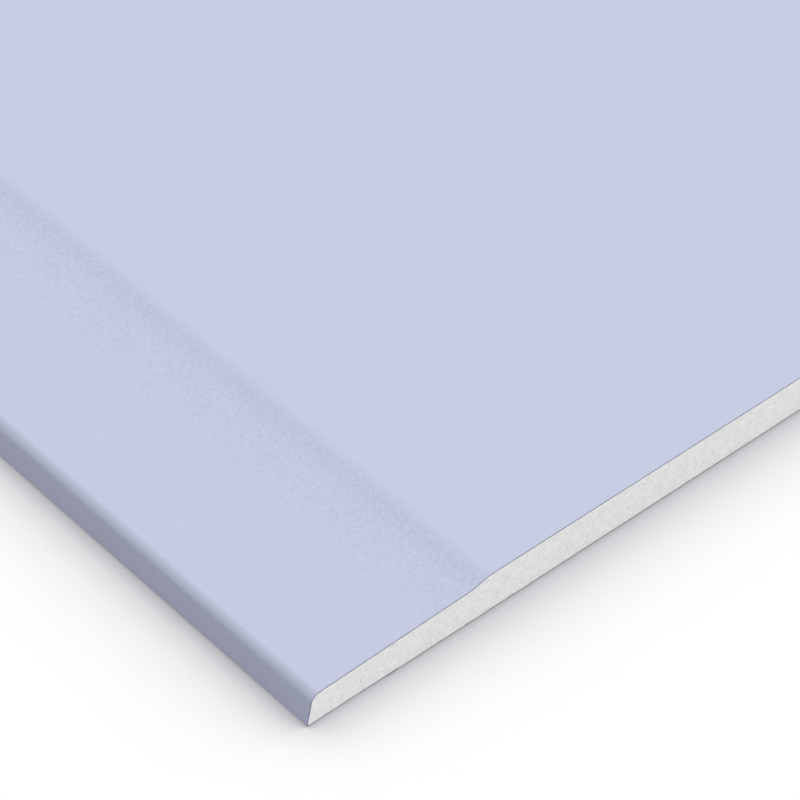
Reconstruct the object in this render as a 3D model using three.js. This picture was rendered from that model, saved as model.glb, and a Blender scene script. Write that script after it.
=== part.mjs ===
// Drywall sheet: a gypsum core cast between two papers.
// The face paper covers the finished side, follows both tapered long edges, is creased round
// them and runs in under the back paper, which is laid on last. The two short ends are cut
// square through all three, so the core and the paper edges show there.
//
// Millimetres, +Z up. The sheet lies on its back: the origin is the centre of the back paper's
// underside, +X runs across the sheet and +Y along it.

import * as THREE from "three";

// Sheet
const SHEET_WIDTH = 1200;
const SHEET_LENGTH = 2400;
const SHEET_THICKNESS = 12.5;
const PAPER_THICKNESS = 0.3;

// Tapered long edge: a nearly level strip along the edge, then a short ramp up to the face
const TAPER_WIDTH = 51.4;
const TAPER_SLOPE = 1.85;
const RAMP_DROP = 1.35;
const RAMP_SLOPE = 17;
const RAMP_FOOT_RADIUS = 9;
const RAMP_TOP_RADIUS = 9;

// Side of the long edge, which leans in a little towards the face
const SIDE_LEAN = 3;
const SHOULDER_RADIUS = 2.2;
const FOLD_INSIDE_RADIUS = 0.4;

// Back: how far each paper's edge lies in from the side of the sheet
const FLAP_WIDTH = 26;
const BACK_PAPER_INSET = 23;

// Angle between the points of a round stretch
const ARC_STEP = 1.5;

const { degToRad } = THREE.MathUtils;

// Unit vector at an angle from +X, in the cross-section's plane (x across, y up).
function direction(angle) {
  return new THREE.Vector2(Math.cos(angle), Math.sin(angle));
}

// A straight stretch of the outline: the angle of its outward normal, and a point on it.
function stretch(normalDegrees, point) {
  return { angle: degToRad(normalDegrees), point };
}

// The round between two straight stretches. A positive radius rounds a corner that points
// outwards, and a negative one rounds a hollow.
function round(before, after, radius) {
  const a = direction(before.angle);
  const b = direction(after.angle);
  const reachA = a.dot(before.point) - radius;
  const reachB = b.dot(after.point) - radius;
  const cross = a.cross(b);
  const centre = new THREE.Vector2(
    (reachA * b.y - reachB * a.y) / cross,
    (reachB * a.x - reachA * b.x) / cross,
  );
  return { centre, radius, from: before.angle, to: after.angle };
}

// The right-hand edge of the sheet as four rounds, from the back up on to the face. The
// straight stretches run from the end of one round to the start of the next.
function edgeRounds() {
  const halfWidth = SHEET_WIDTH / 2;
  const foldRadius = FOLD_INSIDE_RADIUS + PAPER_THICKNESS;
  const fold = {
    centre: new THREE.Vector2(halfWidth - foldRadius, PAPER_THICKNESS + foldRadius),
    radius: foldRadius,
    from: degToRad(-90),
    to: degToRad(SIDE_LEAN),
  };

  const sideStart = direction(fold.to).multiplyScalar(foldRadius).add(fold.centre);
  const rampTop = new THREE.Vector2(halfWidth - TAPER_WIDTH, SHEET_THICKNESS);
  const rampRun = RAMP_DROP / Math.tan(degToRad(RAMP_SLOPE));
  const rampFoot = new THREE.Vector2(rampTop.x + rampRun, SHEET_THICKNESS - RAMP_DROP);

  const side = stretch(SIDE_LEAN, sideStart);
  const taper = stretch(90 - TAPER_SLOPE, rampFoot);
  const ramp = stretch(90 - RAMP_SLOPE, rampTop);
  const face = stretch(90, rampTop);
  return [
    fold,
    round(side, taper, SHOULDER_RADIUS),
    round(taper, ramp, -RAMP_FOOT_RADIUS),
    round(ramp, face, RAMP_TOP_RADIUS),
  ];
}

// Points of one round, on the outline that lies `inset` inside the sheet's outer surface.
function roundPoints({ centre, radius, from, to }, inset) {
  const steps = Math.ceil(Math.abs(to - from) / degToRad(ARC_STEP));
  const points = [];
  for (let i = 0; i <= steps; i += 1) {
    const angle = from + ((to - from) * i) / steps;
    points.push(direction(angle).multiplyScalar(radius - inset).add(centre));
  }
  return points;
}

// The outline round the right-hand edge, the face and the left-hand edge, from the end of one
// flap to the end of the other. The core and the face paper share the inner one point for point.
function wrapOutline(inset) {
  const flapEnd = new THREE.Vector2(SHEET_WIDTH / 2 - FLAP_WIDTH, PAPER_THICKNESS + inset);
  const right = [flapEnd, ...edgeRounds().flatMap((bend) => roundPoints(bend, inset))];
  const left = right.map(({ x, y }) => new THREE.Vector2(-x, y)).reverse();
  return [...right, ...left];
}

// A cross-section run along the whole sheet: its y becomes +Z, and its depth runs along Y.
function runLengthways(points) {
  const geometry = new THREE.ExtrudeGeometry(new THREE.Shape(points), {
    depth: SHEET_LENGTH,
    bevelEnabled: false,
  });
  geometry.translate(0, 0, -SHEET_LENGTH / 2);
  const across = new THREE.Vector3(1, 0, 0);
  const up = new THREE.Vector3(0, 0, 1);
  const backwards = new THREE.Vector3(0, -1, 0);
  geometry.applyMatrix4(new THREE.Matrix4().makeBasis(across, up, backwards));
  return geometry;
}

function namedMesh(name, geometry, material) {
  const mesh = new THREE.Mesh(geometry, material);
  mesh.name = name;
  return mesh;
}

// Gypsum core: fills the space inside the papers, and sits on the back paper between the flaps.
function gypsumCore() {
  const flapEnd = SHEET_WIDTH / 2 - FLAP_WIDTH;
  const outline = [
    new THREE.Vector2(-flapEnd, PAPER_THICKNESS),
    new THREE.Vector2(flapEnd, PAPER_THICKNESS),
    ...wrapOutline(PAPER_THICKNESS),
  ];
  const gypsum = new THREE.MeshStandardMaterial({ color: 0xdededd, roughness: 0.95, metalness: 0 });
  return namedMesh("gypsum_core", runLengthways(outline), gypsum);
}

// Face paper: one paper thick all the way from flap to flap.
function facePaper() {
  const outline = [...wrapOutline(0), ...wrapOutline(PAPER_THICKNESS).reverse()];
  const paper = new THREE.MeshStandardMaterial({ color: 0xc7cde3, roughness: 0.85, metalness: 0 });
  return namedMesh("face_paper", runLengthways(outline), paper);
}

// Back paper: a flat web that covers the core's back and laps over both flaps.
function backPaper() {
  const edge = SHEET_WIDTH / 2 - BACK_PAPER_INSET;
  const outline = [
    new THREE.Vector2(-edge, 0),
    new THREE.Vector2(edge, 0),
    new THREE.Vector2(edge, PAPER_THICKNESS),
    new THREE.Vector2(-edge, PAPER_THICKNESS),
  ];
  const paper = new THREE.MeshStandardMaterial({ color: 0xb3aca0, roughness: 0.9, metalness: 0 });
  return namedMesh("back_paper", runLengthways(outline), paper);
}

const drywallSheet = new THREE.Group();
drywallSheet.name = "drywall_sheet";
drywallSheet.add(gypsumCore(), facePaper(), backPaper());

export default drywallSheet;
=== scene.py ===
import math

import bmesh
import bpy
from mathutils import Matrix, Vector


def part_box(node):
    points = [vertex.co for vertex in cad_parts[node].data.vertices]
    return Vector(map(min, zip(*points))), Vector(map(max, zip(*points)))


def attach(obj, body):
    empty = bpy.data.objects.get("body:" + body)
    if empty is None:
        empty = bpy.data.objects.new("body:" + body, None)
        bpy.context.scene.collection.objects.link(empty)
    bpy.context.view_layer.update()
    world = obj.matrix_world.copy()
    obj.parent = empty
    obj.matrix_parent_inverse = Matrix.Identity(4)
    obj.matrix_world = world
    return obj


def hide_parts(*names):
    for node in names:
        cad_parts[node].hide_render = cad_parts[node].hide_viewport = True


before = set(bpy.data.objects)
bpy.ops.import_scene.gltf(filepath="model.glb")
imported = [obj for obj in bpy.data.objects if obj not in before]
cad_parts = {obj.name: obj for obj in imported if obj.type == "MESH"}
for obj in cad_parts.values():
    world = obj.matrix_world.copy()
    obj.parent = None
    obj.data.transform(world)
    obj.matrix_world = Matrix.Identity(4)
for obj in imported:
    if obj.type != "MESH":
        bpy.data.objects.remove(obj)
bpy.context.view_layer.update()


# ---------------------------------------------------------------------------------------------
# Face paper
# One web of pressed, pale blue board paper with grey recycled plies inside. It is drawn out face
# down over two tapering belts, scored, turned up round both long edges and folded in on to the
# back as two flaps. The saw that cuts the sheet to length leaves its two ends slightly ragged.
# ---------------------------------------------------------------------------------------------
sheet_half_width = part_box("face_paper")[1].x
sheet_half_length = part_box("face_paper")[1].y
sheet_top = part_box("face_paper")[1].z
paper_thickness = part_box("back_paper")[1].z

# The long edge, from the top of the ramp round to the end of the flap
taper_width = 0.0514
taper_slope = math.radians(1.85)
ramp_drop = 0.00135
ramp_slope = math.radians(17)
ramp_foot_radius = 0.009
ramp_top_radius = 0.009
side_lean = math.radians(3)
shoulder_radius = 0.0022
fold_inside_radius = 0.0004
fold_radius = fold_inside_radius + paper_thickness
flap_width = 0.026

# The turn of one facet of a round, the turn past which an edge stays sharp, and how near counts
# as the same place
round_step = math.radians(1.5)
sharp_turn = math.radians(30)
same_place = 1e-6

# The web is made a little too long, and the saw takes off the waste at both ends. It leaves facets
# about as large as a cell, rough to that depth, in lumps about that large
saw_waste = 0.005
web_length = 2 * (sheet_half_length + saw_waste)
saw_block_spare = 0.002
paper_saw = {"cell": 0.0012, "depth": 0.00012, "lump": 0.002}

paper_blue_thin = (0.563, 0.602, 0.758)
paper_blue_dense = (0.579, 0.618, 0.778)
face_fibres = {"Fibre Width": 0.00022, "Fibre Length": 0.0024, "Cloud Size": 0.014}
face_relief = 0.000006
face_roughness = (0.8, 0.9)

# The fibres lie at two small angles to the web, in radians, and make up this share of a paper's
# density. The rest is cloud
fibre_turns = (-0.12, 0.09)
fibre_share = 0.6

# The values that a soft noise usually lies between
usual_noise = (0.3, 0.7)

# Painted shade on the tapers, darkest just past the foot of the ramp and a little darker out to the
# edge, and the belts' fine grain on the tapers, both by how far they lie outwards from the top of
# the ramp
belt_edge = (-0.0005, 0.0015)
ramp_shade_reach = 0.024
ramp_foot_painted_shades = (
    (0.0034, 1),
    (0.0046, 0.966),
    (0.0062, 0.956),
    (0.0078, 0.969),
    (0.012, 0.974),
    (ramp_shade_reach, 0.99),
)
belt_grain_size = 0.0008
belt_grain_fade = (0.008, 0.030)
belt_grain_strengths = (0.065, 0.022)
belt_grain_relief = 0.8

# The sawn edge of a paper. A face counts as sawn by how far its normal points along the sheet
sawn_slant = (0.55, 0.75)
ply_grain_size = 0.0005
face_ply_dark = (0.11, 0.115, 0.165)
face_ply_light = (0.21, 0.215, 0.295)

# The paste that holds the flap down, from the flap's upper side to where it ends in the fold
flap_paste = (0.34, 0.345, 0.35)
flap_paste_share = 0.5
flap_paste_heights = (2 * paper_thickness, 4 * paper_thickness)


def only(piece):
    """Makes the piece the one object that is selected and active."""
    bpy.ops.object.select_all(action="DESELECT")
    piece.select_set(True)
    bpy.context.view_layer.objects.active = piece


def pick_edges(test):
    """Selects, in edit mode, only the edges that pass the test."""
    bpy.ops.mesh.select_mode(type="EDGE")
    bpy.ops.mesh.select_all(action="DESELECT")
    edited = bmesh.from_edit_mesh(bpy.context.edit_object.data)
    for edge in edited.edges:
        if test(edge):
            edge.select_set(True)
    bmesh.update_edit_mesh(bpy.context.edit_object.data)


def runs_along(edge, x, z):
    """True for an edge that runs the length of the sheet at that height, on either side of it."""
    near, far = (vert.co for vert in edge.verts)
    beside = all(abs(abs(end.x) - x) < same_place for end in (near, far))
    level = all(abs(end.z - z) < same_place for end in (near, far))
    return beside and level and abs(near.y - far.y) > same_place


def apply_modifier(piece, kind, **settings):
    """Adds a modifier to the piece and applies it."""
    only(piece)
    modifier = piece.modifiers.new(kind.lower(), kind)
    for setting, value in settings.items():
        setattr(modifier, setting, value)
    bpy.ops.object.modifier_apply(modifier=modifier.name)


def start_piece(add_primitive, name, size, place):
    """Adds a primitive of that size at that place, and leaves it selected all over in edit mode."""
    bpy.ops.object.select_all(action="DESELECT")
    add_primitive(size=1)
    piece = bpy.context.object
    piece.name = name
    bpy.ops.object.mode_set(mode="EDIT")
    bpy.ops.transform.resize(value=size)
    bpy.ops.transform.translate(value=place)
    return piece


def outline_corners(inset):
    """The sharp corners of the long edge, from the ramp's top down to the flap's end, on the
    outline that lies that far inside the sheet's surface."""
    fold_centre = Vector((sheet_half_width - fold_radius, paper_thickness + fold_radius))
    side_foot = fold_centre + fold_radius * Vector((math.cos(side_lean), math.sin(side_lean)))
    ramp_top = Vector((sheet_half_width - taper_width, sheet_top))
    ramp_foot = ramp_top + Vector((ramp_drop / math.tan(ramp_slope), -ramp_drop))
    level = math.radians(90)
    stretches = (
        (level, ramp_top),
        (level - ramp_slope, ramp_top),
        (level - taper_slope, ramp_foot),
        (side_lean, side_foot),
        (-level, Vector((0, paper_thickness))),
    )
    corners = []
    for (angle_a, point_a), (angle_b, point_b) in zip(stretches, stretches[1:]):
        a = Vector((math.cos(angle_a), math.sin(angle_a)))
        b = Vector((math.cos(angle_b), math.sin(angle_b)))
        reach = Vector((a.dot(point_a) - inset, b.dot(point_b) - inset))
        corners.append(Matrix((a, b)).inverted() @ reach)
    corners.append(Vector((sheet_half_width - flap_width, paper_thickness + inset)))
    return corners


def edge_strip(name, inset):
    """An open strip that follows the sheet's section from flap to flap: a plane as wide as the flat
    face, with its long sides drawn out round each edge and every crease then rounded."""
    corners = outline_corners(inset)
    face = corners[0]
    flat = (2 * face.x, web_length, 1)
    strip = start_piece(bpy.ops.mesh.primitive_plane_add, name, flat, (0, 0, face.y))
    for side in (1, -1):
        pick_edges(lambda edge: runs_along(edge, *face) and edge.verts[0].co.x * side > 0)
        for start, end in zip(corners, corners[1:]):
            move = (side * (end.x - start.x), 0, end.y - start.y)
            bpy.ops.mesh.extrude_region_move(TRANSFORM_OT_translate={"value": move})
    creases = (
        (ramp_top_radius - inset, ramp_slope),
        (ramp_foot_radius + inset, ramp_slope - taper_slope),
        (shoulder_radius - inset, math.radians(90) - taper_slope - side_lean),
        (fold_radius - inset, math.radians(90) + side_lean),
    )
    for corner, (radius, turn) in zip(corners, creases):
        pick_edges(lambda edge: runs_along(edge, *corner))
        segments = math.ceil(turn / round_step)
        bpy.ops.mesh.bevel(offset=radius * math.tan(turn / 2), segments=segments)
    bpy.ops.object.mode_set(mode="OBJECT")
    return strip


def divide_edges(test, parts):
    """Cuts the edges that pass the test into about that many parts, in two goes, as one goes no
    further than a hundred."""
    for _ in range(2):
        pick_edges(test)
        bpy.ops.mesh.subdivide(number_cuts=max(1, round(math.sqrt(parts)) - 1))


def saw_block(cell, depth, lump):
    """A block as long as the finished sheet, wider and taller than it. Its two ends have facets of
    about a cell, and are rough to that depth, in lumps about that large."""
    width, height = 2 * (sheet_half_width + saw_block_spare), sheet_top + 2 * saw_block_spare
    block = start_piece(
        bpy.ops.mesh.primitive_cube_add,
        "saw_block",
        (width, 2 * sheet_half_length, height),
        (0, 0, sheet_top / 2),
    )
    for axis, extent in ((0, width), (2, height)):
        divide_edges(
            lambda edge: abs(edge.verts[0].co[axis] - edge.verts[1].co[axis]) > same_place,
            extent / cell,
        )
    bpy.ops.object.mode_set(mode="OBJECT")
    lumps = bpy.data.textures.new("saw_lumps", "CLOUDS")
    lumps.noise_scale = lump
    lumps.noise_depth = 2
    rough = {"texture": lumps, "texture_coords": "LOCAL", "mid_level": 1, "strength": depth}
    apply_modifier(block, "DISPLACE", **rough)
    return block


def saw_ends(piece, saw):
    """Cuts both ends of the running piece off, as rough as that saw leaves them."""
    block = saw_block(**saw)
    apply_modifier(piece, "BOOLEAN", object=block, operation="INTERSECT", solver="MANIFOLD")
    bpy.data.objects.remove(block)


def smooth_rounds(piece):
    """Shades the rounds smooth, and keeps real corners sharp and the large flats flat."""
    only(piece)
    bpy.ops.object.shade_smooth_by_angle(angle=sharp_turn)
    apply_modifier(piece, "WEIGHTED_NORMAL", keep_sharp=True)


def add_node(tree, kind, inputs=None, **settings):
    """Adds a shader node. Each input takes a value, or the socket that feeds it."""
    node = tree.nodes.new("ShaderNode" + kind)
    for setting, value in settings.items():
        setattr(node, setting, value)
    for name, value in (inputs or {}).items():
        if isinstance(value, bpy.types.NodeSocket):
            tree.links.new(value, node.inputs[name])
        else:
            node.inputs[name].default_value = value
    return node


def calculate(tree, operation, *values):
    """The result of a Math node."""
    return add_node(tree, "Math", dict(enumerate(values)), operation=operation).outputs[0]


def along_axis(tree, vector, axis):
    """How far a place or a normal goes along one axis."""
    return add_node(tree, "SeparateXYZ", {"Vector": vector}).outputs[axis]


def rescaled(tree, value, given, wanted=(0, 1)):
    """The value taken from one range to another, and held at its ends."""
    low, high = given
    to_low, to_high = wanted
    ranges = {"From Min": low, "From Max": high, "To Min": to_low, "To Max": to_high}
    return add_node(tree, "MapRange", {"Value": value, **ranges}).outputs["Result"]


def mix_colours(tree, amount, colour_a, colour_b):
    """Two colours mixed by an amount from 0 to 1."""
    colours = [c if isinstance(c, bpy.types.NodeSocket) else (*c, 1) for c in (colour_a, colour_b)]
    inputs = {0: amount, 6: colours[0], 7: colours[1]}
    return add_node(tree, "Mix", inputs, data_type="RGBA").outputs[2]


def graded(tree, value, stops):
    """The colour that the value has on a ramp, whose stops pair a place on it with a colour."""
    ramp = add_node(tree, "ValToRGB", {"Fac": value})
    elements = ramp.color_ramp.elements
    elements[0].position, elements[1].position = stops[0][0], stops[-1][0]
    for at, _ in stops[1:-1]:
        elements.new(at)
    for element, (_, colour) in zip(elements, stops):
        element.color = (*colour, 1)
    return ramp.outputs["Color"]


def toned(tree, colour, tone):
    """The colour made lighter or darker by the tone, where 1 leaves it as it is."""
    scaled = add_node(tree, "VectorMath", {0: colour, "Scale": tone}, operation="SCALE")
    return scaled.outputs["Vector"]


def noise(tree, place, size, detail=2.0):
    """Soft noise from 0 to 1 with lumps about that large."""
    inputs = {"Vector": place, "Scale": 1 / size, "Detail": detail, "Roughness": 0.6}
    return add_node(tree, "TexNoise", inputs).outputs["Fac"]


def new_group(name, inputs, outputs):
    """An empty node group with those sockets, and its input and output nodes."""
    group = bpy.data.node_groups.new(name, "ShaderNodeTree")
    sockets = group.interface
    for socket, value in inputs.items():
        given = sockets.new_socket(socket, in_out="INPUT", socket_type="NodeSocketFloat")
        given.default_value = value
    for socket in outputs:
        sockets.new_socket(socket, in_out="OUTPUT", socket_type="NodeSocketFloat")
    return group, group.nodes.new("NodeGroupInput"), group.nodes.new("NodeGroupOutput")


def build_fibre_group():
    """Paper fibres laid mostly along the web, and the cloudy look of paper held to the light."""
    group, given, made = new_group("paper_fibre", face_fibres, ("Fibre", "Cloud"))
    place = add_node(group, "TexCoord").outputs["Object"]
    width, length = given.outputs["Fibre Width"], given.outputs["Fibre Length"]
    fibre = add_node(group, "CombineXYZ", {"X": width, "Y": length, "Z": width}).outputs["Vector"]
    layers = []
    for turn in fibre_turns:
        turned = add_node(group, "Mapping", {"Vector": place, "Rotation": (0, 0, turn)})
        parts = {0: turned.outputs["Vector"], 1: fibre}
        drawn = add_node(group, "VectorMath", parts, operation="DIVIDE").outputs["Vector"]
        layer = add_node(group, "TexNoise", {"Vector": drawn, "Scale": 1, "Detail": 2})
        layers.append(layer.outputs["Fac"])
    both = calculate(group, "MULTIPLY", calculate(group, "ADD", *layers), 1 / len(layers))
    group.links.new(both, made.inputs["Fibre"])
    clouds = calculate(group, "DIVIDE", 1, given.outputs["Cloud Size"])
    cloud = add_node(group, "TexNoise", {"Vector": place, "Scale": clouds, "Detail": 3})
    group.links.new(cloud.outputs["Fac"], made.inputs["Cloud"])
    return group


def build_cut_end_group():
    """1 on the faces that the saw cut across the sheet, and 0 elsewhere."""
    group, _, made = new_group("cut_end", {}, ("Mask",))
    along = along_axis(group, add_node(group, "TexCoord").outputs["Normal"], "Y")
    slant = calculate(group, "ABSOLUTE", along)
    group.links.new(rescaled(group, slant, sawn_slant), made.inputs["Mask"])
    return group


fibre_group = build_fibre_group()
cut_end_group = build_cut_end_group()


def new_material(name, roughness, specular):
    """A matte material, with its node tree, its Principled BSDF and its Object coordinates."""
    material = bpy.data.materials.new(name)
    material.use_nodes = True
    tree = material.node_tree
    surface = tree.nodes["Principled BSDF"]
    surface.inputs["Roughness"].default_value = roughness
    surface.inputs["Specular IOR Level"].default_value = specular
    return material, tree, surface, add_node(tree, "TexCoord").outputs["Object"]


def add_relief(tree, surface, height, depth):
    """Fine relief in the shading, that deep where the height goes from 0 to 1."""
    relief = add_node(tree, "Bump", {"Height": height, "Distance": depth, "Strength": 1})
    tree.links.new(relief.outputs["Normal"], surface.inputs["Normal"])


def paper_fibres(tree, sizes):
    """The fibre and the cloud of a paper, and the density that the two make together."""
    made = add_node(tree, "Group", sizes, node_tree=fibre_group).outputs
    fibre, cloud = made["Fibre"], made["Cloud"]
    fibre_part = calculate(tree, "MULTIPLY", fibre, fibre_share)
    cloud_part = calculate(tree, "MULTIPLY", cloud, 1 - fibre_share)
    return fibre, cloud, calculate(tree, "ADD", fibre_part, cloud_part)


def inner_plies(tree, place, dark, light):
    """The uneven tone of a paper's inner plies."""
    return mix_colours(tree, noise(tree, place, ply_grain_size, detail=3), dark, light)


def colour_paper(tree, surface, outer, inner):
    """Gives a paper its outer colour, and its inner one where the saw cut it."""
    cut = add_node(tree, "Group", node_tree=cut_end_group).outputs["Mask"]
    tree.links.new(mix_colours(tree, cut, outer, inner), surface.inputs["Base Color"])


def face_paper_material():
    """Pale blue top ply with faint fibres, with painted shade on the tapers below the ramp and a
    fine belt grain there. The saw's cut shows its grey inner plies, paler where paste holds the
    flap down."""
    material, tree, surface, place = new_material("face_paper_blue", roughness=0.85, specular=0.2)
    fibre, cloud, density = paper_fibres(tree, face_fibres)
    dense = rescaled(tree, density, usual_noise)
    top_ply = mix_colours(tree, dense, paper_blue_thin, paper_blue_dense)

    across = calculate(tree, "ABSOLUTE", along_axis(tree, place, "X"))
    outwards = calculate(tree, "SUBTRACT", across, sheet_half_width - taper_width)
    belt = rescaled(tree, outwards, belt_edge)
    # Painted shade on the taper, darkest just past the ramp's foot and fading out towards the edge
    stops = [(at / ramp_shade_reach, (grey, grey, grey)) for at, grey in ramp_foot_painted_shades]
    tone = graded(tree, calculate(tree, "DIVIDE", outwards, ramp_shade_reach), stops)
    grain = noise(tree, place, belt_grain_size)
    strength = rescaled(tree, outwards, belt_grain_fade, belt_grain_strengths)
    strength = calculate(tree, "MULTIPLY", belt, strength)
    mark = rescaled(tree, grain, usual_noise, (-1, 1))
    mark = calculate(tree, "MULTIPLY_ADD", mark, strength, 1)
    top_ply = toned(tree, top_ply, calculate(tree, "MULTIPLY", tone, mark))

    up = along_axis(tree, place, "Z")
    pasted = rescaled(tree, up, flap_paste_heights, (flap_paste_share, 0))
    plies = inner_plies(tree, place, face_ply_dark, face_ply_light)
    colour_paper(tree, surface, top_ply, mix_colours(tree, pasted, plies, flap_paste))

    pressed = calculate(tree, "MULTIPLY", belt, grain)
    pressed = calculate(tree, "MULTIPLY", pressed, belt_grain_relief)
    add_relief(tree, surface, calculate(tree, "ADD", fibre, pressed), face_relief)
    roughness = rescaled(tree, cloud, usual_noise, face_roughness)
    tree.links.new(roughness, surface.inputs["Roughness"])
    return material


def dress(piece, material, stands_for):
    """Gives the piece its material, and puts it in its node's place on the sheet."""
    piece.data.materials.clear()
    piece.data.materials.append(material)
    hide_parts(stands_for)
    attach(piece, "root")


face_paper = edge_strip("face_paper_web", 0)
apply_modifier(face_paper, "SOLIDIFY", thickness=paper_thickness, offset=-1, use_even_offset=True)
saw_ends(face_paper, paper_saw)
smooth_rounds(face_paper)
dress(face_paper, face_paper_material(), "face_paper")


# ---------------------------------------------------------------------------------------------
# Gypsum core
# Foamed gypsum plaster, poured on to the face paper and set hard between the two papers. Only the
# two sawn ends show it: dull off-white, finely pitted by the foam and a little crumbly.
# ---------------------------------------------------------------------------------------------
core_saw = {"cell": 0.0007, "depth": 0.0002, "lump": 0.0016}

gypsum_light = (0.864, 0.867, 0.853)
gypsum_dark = (0.812, 0.815, 0.802)
gypsum_mottle_size = 0.0022
gypsum_crystal_size = 0.00032
gypsum_crystal_tone = 0.14
gypsum_crystal_relief = 0.5
gypsum_relief = 0.00006

# Foam pits, which lie about a pitch apart, in patches, darker with painted shade inside them. A
# pit's bottom and its rim are radii, as shares of the pitch
pit_painted_shade = (0.72, 0.72, 0.706)
pit_pitch = 0.0009
pit_radii = (0.16, 0.3)
pit_patch_size = 0.004
pit_patch_edge = (0.45, 0.6)

# Painted shade at the foot of the core, next to the back paper and the floor
gypsum_foot_painted_shade = 0.66
gypsum_foot_height = 0.0005


def gypsum_material():
    """Off-white plaster with soft mottling, foam pits and a fine crystalline grain. The pits and
    the foot of the core are darkened with painted shade.
    """
    material, tree, surface, place = new_material("gypsum_sawn", roughness=0.95, specular=0.15)
    mottle = rescaled(tree, noise(tree, place, gypsum_mottle_size, detail=3), usual_noise)
    body = mix_colours(tree, mottle, gypsum_dark, gypsum_light)
    crystals = noise(tree, place, gypsum_crystal_size, detail=3)
    crystal_tones = (1 - gypsum_crystal_tone, 1 + gypsum_crystal_tone)
    body = toned(tree, body, rescaled(tree, crystals, usual_noise, crystal_tones))
    cells = add_node(tree, "TexVoronoi", {"Vector": place, "Scale": 1 / pit_pitch, "Randomness": 1})
    bubbles = rescaled(tree, cells.outputs["Distance"], pit_radii, (1, 0))
    patches = rescaled(tree, noise(tree, place, pit_patch_size), pit_patch_edge)
    pits = calculate(tree, "MULTIPLY", bubbles, patches)
    # Painted shade in the foam pits
    body = mix_colours(tree, pits, body, pit_painted_shade)
    # Painted shade, darkest where the core meets the back paper and gone at the foot height
    up = calculate(tree, "SUBTRACT", along_axis(tree, place, "Z"), paper_thickness)
    foot = rescaled(tree, up, (0, gypsum_foot_height), (gypsum_foot_painted_shade, 1))
    body = toned(tree, body, foot)
    tree.links.new(body, surface.inputs["Base Color"])
    raised = calculate(tree, "MULTIPLY", crystals, gypsum_crystal_relief)
    add_relief(tree, surface, calculate(tree, "SUBTRACT", raised, pits), gypsum_relief)
    return material


core = edge_strip("gypsum_core_cast", paper_thickness)
flap_end = outline_corners(paper_thickness)[-1]
bpy.ops.object.mode_set(mode="EDIT")
pick_edges(lambda edge: runs_along(edge, *flap_end))
bpy.ops.mesh.extrude_region_move(TRANSFORM_OT_translate={"value": (0, 0, -paper_thickness)})
pick_edges(lambda edge: runs_along(edge, flap_end.x, flap_end.y - paper_thickness))
bpy.ops.mesh.edge_face_add()
for end in (web_length / 2, -web_length / 2):
    pick_edges(lambda edge: all(abs(vert.co.y - end) < same_place for vert in edge.verts))
    bpy.ops.mesh.edge_face_add()
bpy.ops.mesh.select_all(action="SELECT")
bpy.ops.mesh.normals_make_consistent(inside=False)
bpy.ops.object.mode_set(mode="OBJECT")
saw_ends(core, core_saw)
smooth_rounds(core)
dress(core, gypsum_material(), "gypsum_core")


# ---------------------------------------------------------------------------------------------
# Back paper
# Plain, unbleached recycled board paper, glued to the wet core and over the ends of both flaps as
# the sheet's last layer. It is flat, stops a little way in from the long edges and is sawn off
# with the rest at the two ends, where its dark cut edge shows.
# ---------------------------------------------------------------------------------------------
back_half_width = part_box("back_paper")[1].x
kraft_dark = (0.36, 0.33, 0.28)
kraft_light = (0.50, 0.465, 0.405)
kraft_fibres = {"Fibre Width": 0.0003, "Fibre Length": 0.003, "Cloud Size": 0.008}
kraft_relief = 0.000015
fleck_colour = (0.17, 0.15, 0.125)
fleck_size = 0.0011
fleck_edge = (0.66, 0.72)
back_ply_dark = (0.205, 0.20, 0.232)
back_ply_light = (0.33, 0.325, 0.362)


def back_paper_material():
    """Unbleached grey board paper with darker and lighter recycled fibres and a few dark flecks."""
    material, tree, surface, place = new_material("back_paper_grey", roughness=0.9, specular=0.15)
    fibre, _, density = paper_fibres(tree, kraft_fibres)
    ply = mix_colours(tree, rescaled(tree, density, usual_noise), kraft_dark, kraft_light)
    flecks = rescaled(tree, noise(tree, place, fleck_size, detail=4), fleck_edge)
    ply = mix_colours(tree, flecks, ply, fleck_colour)
    colour_paper(tree, surface, ply, inner_plies(tree, place, back_ply_dark, back_ply_light))
    add_relief(tree, surface, fibre, kraft_relief)
    return material


back_paper = start_piece(
    bpy.ops.mesh.primitive_cube_add,
    "back_paper_web",
    (2 * back_half_width, web_length, paper_thickness),
    (0, 0, paper_thickness / 2),
)
bpy.ops.object.mode_set(mode="OBJECT")
saw_ends(back_paper, paper_saw)
smooth_rounds(back_paper)
dress(back_paper, back_paper_material(), "back_paper")


# ---------------------------------------------------------------------------------------------
# Studio
# A white floor that the sheet lies on, even light from all round and one broad, low lamp off the
# sheet's cut end. The camera looks down on the near corner through a long lens.
# ---------------------------------------------------------------------------------------------
floor_size = 200
floor_offset = 50

# The light that the floor throws back on to the sheet, and how it grows from a least share close
# to the sheet as the floor opens
floor_bounce = (0.25, 0.235, 0.28)
bounce_least = 0.2
bounce_openness = (0.5, 0.9)

# The soft shadow round the sheet, from where the floor is most hidden to where it lies open. Its
# normal leans a little, which deepens it beside the near long edge
contact_reach = 0.035
contact_lean = math.radians(11)
contact_normal = (math.sin(contact_lean), 0, math.cos(contact_lean))
contact_shades = (
    (0.30, (0.442, 0.436, 0.462)),
    (0.45, (0.503, 0.497, 0.523)),
    (0.53, (0.577, 0.571, 0.597)),
    (0.60, (0.672, 0.666, 0.692)),
    (0.73, (0.787, 0.782, 0.803)),
    (0.86, (0.907, 0.905, 0.918)),
    (0.92, (0.964, 0.963, 0.968)),
    (0.97, (1, 1, 1)),
)

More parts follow.
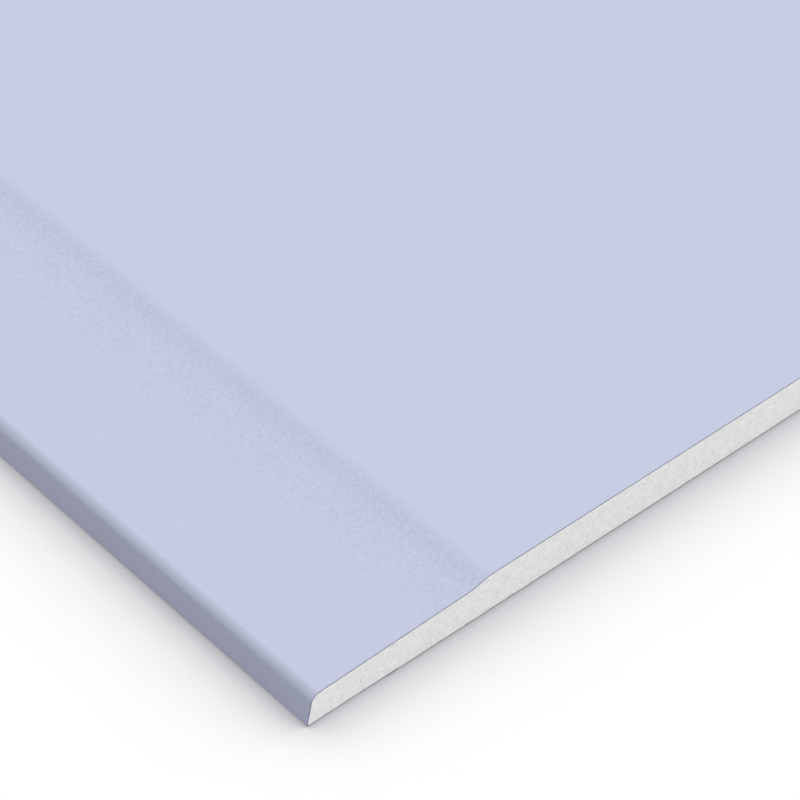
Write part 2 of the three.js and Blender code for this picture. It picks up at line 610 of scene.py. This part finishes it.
# The tight shadow at the foot of the cut end. Its normal leans towards that end, and away from
# the near long edge, so that it stays off the crease there
foot_reach = 0.0012
foot_shade = 0.26
foot_normal = (-0.5, 0.5, 0.707)


def sees_backdrop(tree):
    """1 for rays that show the backdrop, straight or in a shine, and 0 for those that light."""
    rays = add_node(tree, "LightPath").outputs
    shine = calculate(tree, "MAXIMUM", rays["Is Glossy Ray"], rays["Is Transmission Ray"])
    return calculate(tree, "MAXIMUM", rays["Is Camera Ray"], shine)


def openness(tree, reach, samples, normal=None):
    """From 0, where things within that reach hide the floor, to 1, where it lies open. A leaning
    normal looks more to the side that it leans to."""
    inputs = {"Distance": reach}
    if normal:
        inputs["Normal"] = add_node(tree, "CombineXYZ", dict(enumerate(normal))).outputs["Vector"]
    return add_node(tree, "AmbientOcclusion", inputs, samples=samples).outputs["AO"]


def floor_material():
    """White to the eye, with the soft contact shadow of what stands on it. It throws little light
    back on to the sheet."""
    material = bpy.data.materials.new("studio_floor")
    material.use_nodes = True
    tree = material.node_tree
    tree.nodes.remove(tree.nodes["Principled BSDF"])
    contact = openness(tree, contact_reach, samples=32, normal=contact_normal)
    foot = openness(tree, foot_reach, samples=8, normal=foot_normal)
    shade = graded(tree, contact, contact_shades)
    shade = toned(tree, shade, rescaled(tree, foot, (0, 1), (1 - foot_shade, 1)))
    seen = add_node(tree, "Emission", {"Color": shade, "Strength": 1}).outputs[0]
    near = openness(tree, contact_reach, samples=4)
    share = rescaled(tree, near, bounce_openness, (bounce_least, 1))
    lit = add_node(tree, "BsdfDiffuse", {"Color": toned(tree, floor_bounce, share)}).outputs[0]
    shader = add_node(tree, "MixShader", {0: sees_backdrop(tree), 1: lit, 2: seen}).outputs[0]
    tree.links.new(shader, tree.nodes["Material Output"].inputs["Surface"])
    return material


# The floor lies off to one side, so that the seam between its two triangles is far from the sheet
floor = start_piece(
    bpy.ops.mesh.primitive_plane_add,
    "floor",
    (floor_size, floor_size, 1),
    (floor_offset, 0, 0),
)
bpy.ops.object.mode_set(mode="OBJECT")
floor.data.materials.append(floor_material())

dome_strength = 0.812
world = bpy.data.worlds.new("studio")
bpy.context.scene.world = world
world.use_nodes = True
dome = rescaled(world.node_tree, sees_backdrop(world.node_tree), (0, 1), (dome_strength, 1))
background = world.node_tree.nodes["Background"]
background.inputs["Color"].default_value = (1, 1, 1, 1)
world.node_tree.links.new(dome, background.inputs["Strength"])

key_strength = 0.479
key_spread = math.radians(40)
key_azimuth = math.radians(-55)
key_height = math.radians(22)
key_data = bpy.data.lights.new("key", "SUN")
key_data.energy = key_strength * math.pi
key_data.angle = key_spread
key = bpy.data.objects.new("key", key_data)
bpy.context.scene.collection.objects.link(key)
towards_key = Vector(
    (
        math.cos(key_azimuth) * math.cos(key_height),
        math.sin(key_azimuth) * math.cos(key_height),
        math.sin(key_height),
    )
)
key.rotation_euler = towards_key.to_track_quat("Z", "Y").to_euler()

camera_place = Vector((-0.95857, -1.51522, 0.54261))
camera_yaw = math.radians(49.752)
camera_pitch = math.radians(43.103)
camera_roll = math.radians(8.605)
focal_length = 156.67
lens = bpy.data.cameras.new("camera")
lens.sensor_width = 36
lens.lens = focal_length
lens.clip_start = 0.01
lens.clip_end = 100
camera = bpy.data.objects.new("camera", lens)
bpy.context.scene.collection.objects.link(camera)
bpy.context.scene.camera = camera
turned = Matrix.Rotation(-camera_yaw, 3, "Z")
tilted = Matrix.Rotation(math.radians(90) - camera_pitch, 3, "X")
rolled = Matrix.Rotation(camera_roll, 3, "Z")
camera.matrix_world = Matrix.Translation(camera_place) @ (turned @ tilted @ rolled).to_4x4()

bpy.context.scene.view_settings.view_transform = "Standard"
